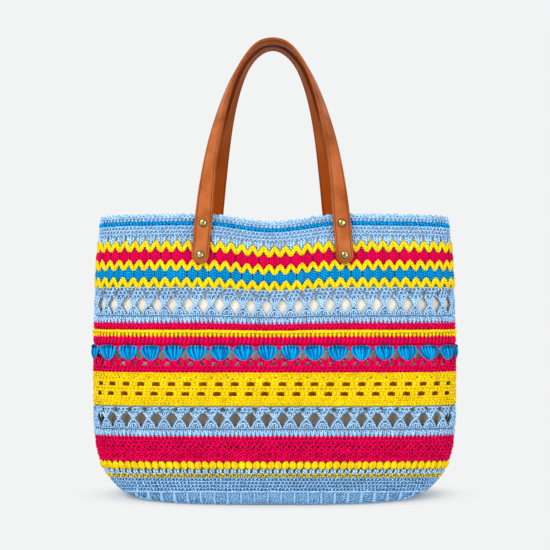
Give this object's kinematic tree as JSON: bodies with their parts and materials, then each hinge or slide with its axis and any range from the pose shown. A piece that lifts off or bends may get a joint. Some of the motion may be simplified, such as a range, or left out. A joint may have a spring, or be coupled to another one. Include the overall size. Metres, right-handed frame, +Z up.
{
  "type": "crochet bag",
  "caption": "Crochet tote bag in light blue, bright blue, pink and yellow bands, with a cream lining and two riveted tan leather handles.",
  "frame": {"origin": "centre of the flat base, on the surface the bag stands on", "axes": "+Z up, +X to the right seen from the front, the front wall faces -Y"},
  "size_m": [0.3988, 0.136, 0.5011],
  "materials": {
    "yarn_light_blue": "matte mercerised cotton yarn, crocheted",
    "yarn_bright_blue": "matte mercerised cotton yarn, crocheted",
    "yarn_pink": "matte mercerised cotton yarn, crocheted",
    "yarn_yellow": "matte mercerised cotton yarn, crocheted",
    "lining_cotton": "plain cream cotton",
    "strap_leather": "smooth tan leather, semi-matte, burnished edges",
    "patch_leather": "tan leather, unpolished",
    "rivet_brass": "antique brass, domed and polished"
  },
  "bodies": {
    "root": {"ribbed_base": "yarn_light_blue", "light_blue_hem": "yarn_light_blue", "yellow_dotted_line": "yarn_yellow", "light_blue_post_row": "yarn_light_blue", "yellow_puff_row": "yarn_yellow", "pink_mesh_band": "yarn_pink", "light_blue_diamond_band_lower": "yarn_light_blue", "yellow_slit_band": "yarn_yellow", "pink_lace_band": "yarn_pink", "bright_blue_puff_band": "yarn_bright_blue", "pink_row_band": "yarn_pink", "yellow_stripe": "yarn_yellow", "pink_stripe": "yarn_pink", "light_blue_diamond_band_upper": "yarn_light_blue", "yellow_zigzag_3": "yarn_yellow", "bright_blue_cluster_band": "yarn_bright_blue", "yellow_zigzag_2": "yarn_yellow", "pink_cluster_band": "yarn_pink", "yellow_zigzag_1": "yarn_yellow", "light_blue_top_band": "yarn_light_blue", "bright_blue_stripe": "yarn_bright_blue", "rim_edge": "yarn_light_blue", "lining": "lining_cotton", "handle_front": "strap_leather", "handle_rear": "strap_leather", "rivet_front_left_upper": "rivet_brass", "rivet_back_front_left_upper": "rivet_brass", "rivet_front_left_lower": "rivet_brass", "rivet_back_front_left_lower": "rivet_brass", "patch_front_left": "patch_leather", "rivet_front_right_upper": "rivet_brass", "rivet_back_front_right_upper": "rivet_brass", "rivet_front_right_lower": "rivet_brass", "rivet_back_front_right_lower": "rivet_brass", "patch_front_right": "patch_leather", "rivet_rear_left_upper": "rivet_brass", "rivet_back_rear_left_upper": "rivet_brass", "rivet_rear_left_lower": "rivet_brass", "rivet_back_rear_left_lower": "rivet_brass", "patch_rear_left": "patch_leather", "rivet_rear_right_upper": "rivet_brass", "rivet_back_rear_right_upper": "rivet_brass", "rivet_rear_right_lower": "rivet_brass", "rivet_back_rear_right_lower": "rivet_brass", "patch_rear_right": "patch_leather"}
  },
  "joints": []
}
